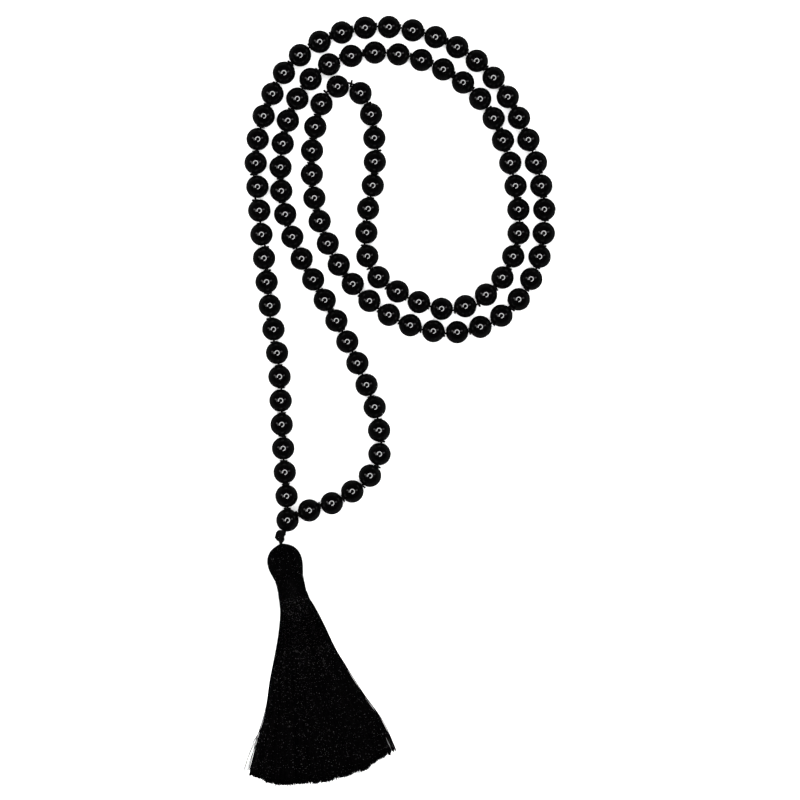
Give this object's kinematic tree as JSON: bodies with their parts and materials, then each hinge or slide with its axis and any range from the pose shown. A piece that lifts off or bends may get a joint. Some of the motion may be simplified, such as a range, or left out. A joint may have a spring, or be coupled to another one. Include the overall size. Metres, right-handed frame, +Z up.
{
  "type": "mala prayer beads",
  "caption": "Mala prayer beads: round polished black beads on a cord loop with a guru bead, a closing knot and a long thread tassel.",
  "frame": {"origin": "middle of the footprint, on the surface that the beads lie on", "axes": "+Z up from that surface, +Y along the loop away from the tassel, +X to the right seen from above"},
  "size_m": [0.111, 0.2734, 0.0126],
  "materials": {
    "bead_stone": "polished, opaque black",
    "cord": "twisted thread, matt",
    "tassel_thread": "silky thread",
    "binding_thread": "wound thread, satin"
  },
  "bodies": {
    "string": {"stringing_cord": "cord", "guru_bead": "bead_stone"},
    "knot": {"closing_knot": "cord"},
    "tassel": {"tassel_loop": "cord", "tassel_head": "tassel_thread", "neck_binding": "binding_thread"},
    "skirt": {"tassel_skirt": "tassel_thread"},
    "beads_001_002": {"beads_001_002": "bead_stone"},
    "beads_003_004": {"beads_003_004": "bead_stone"},
    "beads_005_006": {"beads_005_006": "bead_stone"},
    "beads_007_008": {"beads_007_008": "bead_stone"},
    "beads_009_010": {"beads_009_010": "bead_stone"},
    "beads_011_012": {"beads_011_012": "bead_stone"},
    "beads_013_014": {"beads_013_014": "bead_stone"},
    "beads_015_016": {"beads_015_016": "bead_stone"},
    "beads_017_018": {"beads_017_018": "bead_stone"},
    "beads_019_020": {"beads_019_020": "bead_stone"},
    "beads_021_022": {"beads_021_022": "bead_stone"},
    "beads_023_024": {"beads_023_024": "bead_stone"},
    "beads_025_026": {"beads_025_026": "bead_stone"},
    "beads_027_028": {"beads_027_028": "bead_stone"},
    "beads_029_030": {"beads_029_030": "bead_stone"},
    "beads_031_032": {"beads_031_032": "bead_stone"},
    "beads_033_034": {"beads_033_034": "bead_stone"},
    "beads_035_036": {"beads_035_036": "bead_stone"},
    "beads_037_038": {"beads_037_038": "bead_stone"},
    "beads_039_040": {"beads_039_040": "bead_stone"},
    "beads_041_042": {"beads_041_042": "bead_stone"},
    "beads_043_044": {"beads_043_044": "bead_stone"},
    "beads_045_046": {"beads_045_046": "bead_stone"},
    "beads_047_048": {"beads_047_048": "bead_stone"},
    "beads_049_050": {"beads_049_050": "bead_stone"},
    "bead_051": {"bead_051": "bead_stone"},
    "bead_052": {"bead_052": "bead_stone"},
    "bead_053": {"bead_053": "bead_stone"},
    "beads_054_055": {"beads_054_055": "bead_stone"},
    "beads_056_057": {"beads_056_057": "bead_stone"},
    "beads_058_059": {"beads_058_059": "bead_stone"},
    "beads_060_061": {"beads_060_061": "bead_stone"},
    "beads_062_063": {"beads_062_063": "bead_stone"},
    "beads_064_065": {"beads_064_065": "bead_stone"},
    "beads_066_067": {"beads_066_067": "bead_stone"},
    "beads_068_069": {"beads_068_069": "bead_stone"},
    "beads_070_071": {"beads_070_071": "bead_stone"},
    "beads_072_073": {"beads_072_073": "bead_stone"},
    "beads_074_075": {"beads_074_075": "bead_stone"},
    "beads_076_077": {"beads_076_077": "bead_stone"},
    "beads_078_079": {"beads_078_079": "bead_stone"},
    "beads_080_081": {"beads_080_081": "bead_stone"},
    "beads_082_083": {"beads_082_083": "bead_stone"},
    "beads_084_085": {"beads_084_085": "bead_stone"},
    "beads_086_087": {"beads_086_087": "bead_stone"},
    "beads_088_089": {"beads_088_089": "bead_stone"},
    "beads_090_091": {"beads_090_091": "bead_stone"},
    "beads_092_093": {"beads_092_093": "bead_stone"},
    "beads_094_096": {"beads_094_096": "bead_stone"},
    "beads_097_099": {"beads_097_099": "bead_stone"},
    "beads_100_102": {"beads_100_102": "bead_stone"},
    "beads_103_105": {"beads_103_105": "bead_stone"},
    "beads_106_108": {"beads_106_108": "bead_stone"}
  },
  "joints": [
    {"name": "hang_1_knot_swing", "type": "hinge", "parent": "string", "child": "knot", "pos_m": [-0.04116, -0.04736, 0.00405], "axis": [0, 0, 1], "range_deg": [-25, 25]},
    {"name": "hang_2_tassel_lift", "type": "hinge", "parent": "knot", "child": "tassel", "pos_m": [-0.0423, -0.05193, 0.0061], "axis": [-0.9781, -0.2079, 0], "range_deg": [0, 60]},
    {"name": "hang_3_skirt_sway", "type": "hinge", "parent": "tassel", "child": "skirt", "pos_m": [-0.03726, -0.07565, 0.0053], "axis": [0, 0, 1], "range_deg": [-20, 20]},
    {"name": "turn_beads_001_002", "type": "hinge", "parent": "string", "child": "beads_001_002", "pos_m": [-0.03237, -0.0398, 0.00405], "axis": [0.9514, 0.3079, 0], "continuous": true},
    {"name": "turn_beads_003_004", "type": "hinge", "parent": "string", "child": "beads_003_004", "pos_m": [-0.01702, -0.03301, 0.00405], "axis": [0.747, 0.6648, 0], "continuous": true},
    {"name": "turn_beads_005_006", "type": "hinge", "parent": "string", "child": "beads_005_006", "pos_m": [-0.00733, -0.01967, 0.00405], "axis": [-0.0171, 0.9999, 0], "continuous": true},
    {"name": "turn_beads_007_008", "type": "hinge", "parent": "string", "child": "beads_007_008", "pos_m": [-0.00902, -0.00293, 0.00405], "axis": [-0.3446, 0.9387, 0], "continuous": true},
    {"name": "turn_beads_009_010", "type": "hinge", "parent": "string", "child": "beads_009_010", "pos_m": [-0.01519, 0.01279, 0.00405], "axis": [-0.4271, 0.9042, 0], "continuous": true},
    {"name": "turn_beads_011_012", "type": "hinge", "parent": "string", "child": "beads_011_012", "pos_m": [-0.02269, 0.02792, 0.00405], "axis": [-0.4926, 0.8703, 0], "continuous": true},
    {"name": "turn_beads_013_014", "type": "hinge", "parent": "string", "child": "beads_013_014", "pos_m": [-0.03098, 0.04264, 0.00405], "axis": [-0.4855, 0.8742, 0], "continuous": true},
    {"name": "turn_beads_015_016", "type": "hinge", "parent": "string", "child": "beads_015_016", "pos_m": [-0.03841, 0.05779, 0.00405], "axis": [-0.2989, 0.9543, 0], "continuous": true},
    {"name": "turn_beads_017_018", "type": "hinge", "parent": "string", "child": "beads_017_018", "pos_m": [-0.04235, 0.07419, 0.00405], "axis": [-0.0321, 0.9995, 0], "continuous": true},
    {"name": "turn_beads_019_020", "type": "hinge", "parent": "string", "child": "beads_019_020", "pos_m": [-0.04183, 0.09105, 0.00405], "axis": [0.2187, 0.9758, 0], "continuous": true},
    {"name": "turn_beads_021_022", "type": "hinge", "parent": "string", "child": "beads_021_022", "pos_m": [-0.03663, 0.10707, 0.00405], "axis": [0.5586, 0.8295, 0], "continuous": true},
    {"name": "turn_beads_023_024", "type": "hinge", "parent": "string", "child": "beads_023_024", "pos_m": [-0.02528, 0.11934, 0.00405], "axis": [0.9349, 0.3548, 0], "continuous": true},
    {"name": "turn_beads_025_026", "type": "hinge", "parent": "string", "child": "beads_025_026", "pos_m": [-0.009, 0.12355, 0.00405], "axis": [0.9971, -0.0758, 0], "continuous": true},
    {"name": "turn_beads_027_028", "type": "hinge", "parent": "string", "child": "beads_027_028", "pos_m": [0.00765, 0.12089, 0.00405], "axis": [0.9192, -0.3938, 0], "continuous": true},
    {"name": "turn_beads_029_030", "type": "hinge", "parent": "string", "child": "beads_029_030", "pos_m": [0.02249, 0.11289, 0.00405], "axis": [0.7227, -0.6912, 0], "continuous": true},
    {"name": "turn_beads_031_032", "type": "hinge", "parent": "string", "child": "beads_031_032", "pos_m": [0.03342, 0.10008, 0.00405], "axis": [0.3904, -0.9207, 0], "continuous": true},
    {"name": "turn_beads_033_034", "type": "hinge", "parent": "string", "child": "beads_033_034", "pos_m": [0.03933, 0.08423, 0.00405], "axis": [0.2232, -0.9748, 0], "continuous": true},
    {"name": "turn_beads_035_036", "type": "hinge", "parent": "string", "child": "beads_035_036", "pos_m": [0.04222, 0.06757, 0.00405], "axis": [0.0116, -0.9999, 0], "continuous": true},
    {"name": "turn_beads_037_038", "type": "hinge", "parent": "string", "child": "beads_037_038", "pos_m": [0.0404, 0.05085, 0.00405], "axis": [-0.4518, -0.8921, 0], "continuous": true},
    {"name": "turn_beads_039_040", "type": "hinge", "parent": "string", "child": "beads_039_040", "pos_m": [0.03069, 0.03719, 0.00405], "axis": [-0.8751, -0.484, 0], "continuous": true},
    {"name": "turn_beads_041_042", "type": "hinge", "parent": "string", "child": "beads_041_042", "pos_m": [0.01485, 0.03216, 0.00405], "axis": [-0.9595, 0.2819, 0], "continuous": true},
    {"name": "turn_beads_043_044", "type": "hinge", "parent": "string", "child": "beads_043_044", "pos_m": [-0.00087, 0.03834, 0.00405], "axis": [-0.8022, 0.5971, 0], "continuous": true},
    {"name": "turn_beads_045_046", "type": "hinge", "parent": "string", "child": "beads_045_046", "pos_m": [-0.01163, 0.05089, 0.00405], "axis": [-0.0427, 0.9991, 0], "continuous": true},
    {"name": "turn_beads_047_048", "type": "hinge", "parent": "string", "child": "beads_047_048", "pos_m": [-0.01135, 0.06782, 0.00405], "axis": [0.193, 0.9812, 0], "continuous": true},
    {"name": "turn_beads_049_050", "type": "hinge", "parent": "string", "child": "beads_049_050", "pos_m": [-0.00898, 0.08459, 0.00405], "axis": [-0.021, 0.9998, 0], "continuous": true},
    {"name": "turn_bead_051", "type": "hinge", "parent": "string", "child": "bead_051", "pos_m": [-0.01032, 0.10147, 0.00405], "axis": [-0.2497, 0.9683, 0], "continuous": true},
    {"name": "turn_bead_052", "type": "hinge", "parent": "string", "child": "bead_052", "pos_m": [-0.01408, 0.10908, 0.00405], "axis": [-0.6186, 0.7857, 0], "continuous": true},
    {"name": "turn_bead_053", "type": "hinge", "parent": "string", "child": "bead_053", "pos_m": [-0.02223, 0.11143, 0.00405], "axis": [-0.9421, -0.3355, 0], "continuous": true},
    {"name": "turn_beads_054_055", "type": "hinge", "parent": "string", "child": "beads_054_055", "pos_m": [-0.028, 0.1052, 0.00405], "axis": [-0.2622, -0.965, 0], "continuous": true},
    {"name": "turn_beads_056_057", "type": "hinge", "parent": "string", "child": "beads_056_057", "pos_m": [-0.03138, 0.0886, 0.00405], "axis": [-0.0086, -1, 0], "continuous": true},
    {"name": "turn_beads_058_059", "type": "hinge", "parent": "string", "child": "beads_058_059", "pos_m": [-0.03055, 0.07167, 0.00405], "axis": [0.2217, -0.9751, 0], "continuous": true},
    {"name": "turn_beads_060_061", "type": "hinge", "parent": "string", "child": "beads_060_061", "pos_m": [-0.02575, 0.05541, 0.00405], "axis": [0.4589, -0.8885, 0], "continuous": true},
    {"name": "turn_beads_062_063", "type": "hinge", "parent": "string", "child": "beads_062_063", "pos_m": [-0.01687, 0.04099, 0.00405], "axis": [0.7025, -0.7117, 0], "continuous": true},
    {"name": "turn_beads_064_065", "type": "hinge", "parent": "string", "child": "beads_064_065", "pos_m": [-0.00399, 0.03, 0.00405], "axis": [0.8991, -0.4377, 0], "continuous": true},
    {"name": "turn_beads_066_067", "type": "hinge", "parent": "string", "child": "beads_066_067", "pos_m": [0.01188, 0.02419, 0.00405], "axis": [0.9991, -0.0435, 0], "continuous": true},
    {"name": "turn_beads_068_069", "type": "hinge", "parent": "string", "child": "beads_068_069", "pos_m": [0.02866, 0.0257, 0.00405], "axis": [0.883, 0.4694, 0], "continuous": true},
    {"name": "turn_beads_070_071", "type": "hinge", "parent": "string", "child": "beads_070_071", "pos_m": [0.04235, 0.03552, 0.00405], "axis": [0.5197, 0.8543, 0], "continuous": true},
    {"name": "turn_beads_072_073", "type": "hinge", "parent": "string", "child": "beads_072_073", "pos_m": [0.04978, 0.05074, 0.00405], "axis": [0.177, 0.9842, 0], "continuous": true},
    {"name": "turn_beads_074_075", "type": "hinge", "parent": "string", "child": "beads_074_075", "pos_m": [0.0515, 0.06761, 0.00405], "axis": [-0.1285, 0.9917, 0], "continuous": true},
    {"name": "turn_beads_076_077", "type": "hinge", "parent": "string", "child": "beads_076_077", "pos_m": [0.04851, 0.08434, 0.00405], "axis": [-0.3155, 0.9489, 0], "continuous": true},
    {"name": "turn_beads_078_079", "type": "hinge", "parent": "string", "child": "beads_078_079", "pos_m": [0.04246, 0.10023, 0.00405], "axis": [-0.4715, 0.8819, 0], "continuous": true},
    {"name": "turn_beads_080_081", "type": "hinge", "parent": "string", "child": "beads_080_081", "pos_m": [0.03339, 0.11458, 0.00405], "axis": [-0.7053, 0.7089, 0], "continuous": true},
    {"name": "turn_beads_082_083", "type": "hinge", "parent": "string", "child": "beads_082_083", "pos_m": [0.02041, 0.12549, 0.00405], "axis": [-0.9075, 0.42, 0], "continuous": true},
    {"name": "turn_beads_084_085", "type": "hinge", "parent": "string", "child": "beads_084_085", "pos_m": [0.00452, 0.13147, 0.00405], "axis": [-0.9903, 0.1391, 0], "continuous": true},
    {"name": "turn_beads_086_087", "type": "hinge", "parent": "string", "child": "beads_086_087", "pos_m": [-0.01243, 0.1324, 0.00405], "axis": [-0.9802, -0.198, 0], "continuous": true},
    {"name": "turn_beads_088_089", "type": "hinge", "parent": "string", "child": "beads_088_089", "pos_m": [-0.02863, 0.12741, 0.00405], "axis": [-0.8269, -0.5623, 0], "continuous": true},
    {"name": "turn_beads_090_091", "type": "hinge", "parent": "string", "child": "beads_090_091", "pos_m": [-0.04141, 0.11632, 0.00405], "axis": [-0.4819, -0.8762, 0], "continuous": true},
    {"name": "turn_beads_092_093", "type": "hinge", "parent": "string", "child": "beads_092_093", "pos_m": [-0.04865, 0.10093, 0.00405], "axis": [-0.2474, -0.9689, 0], "continuous": true},
    {"name": "turn_beads_094_096", "type": "hinge", "parent": "string", "child": "beads_094_096", "pos_m": [-0.0515, 0.08418, 0.00405], "axis": [0.0758, -0.9971, 0], "continuous": true},
    {"name": "turn_beads_097_099", "type": "hinge", "parent": "string", "child": "beads_097_099", "pos_m": [-0.04942, 0.05869, 0.00405], "axis": [0.1082, -0.9941, 0], "continuous": true},
    {"name": "turn_beads_100_102", "type": "hinge", "parent": "string", "child": "beads_100_102", "pos_m": [-0.04646, 0.03327, 0.00405], "axis": [0.1537, -0.9881, 0], "continuous": true},
    {"name": "turn_beads_103_105", "type": "hinge", "parent": "string", "child": "beads_103_105", "pos_m": [-0.04298, 0.00792, 0.00405], "axis": [0.0464, -0.9989, 0], "continuous": true},
    {"name": "turn_beads_106_108", "type": "hinge", "parent": "string", "child": "beads_106_108", "pos_m": [-0.04169, -0.01765, 0.00405], "axis": [0.0704, -0.9975, 0], "continuous": true}
  ]
}
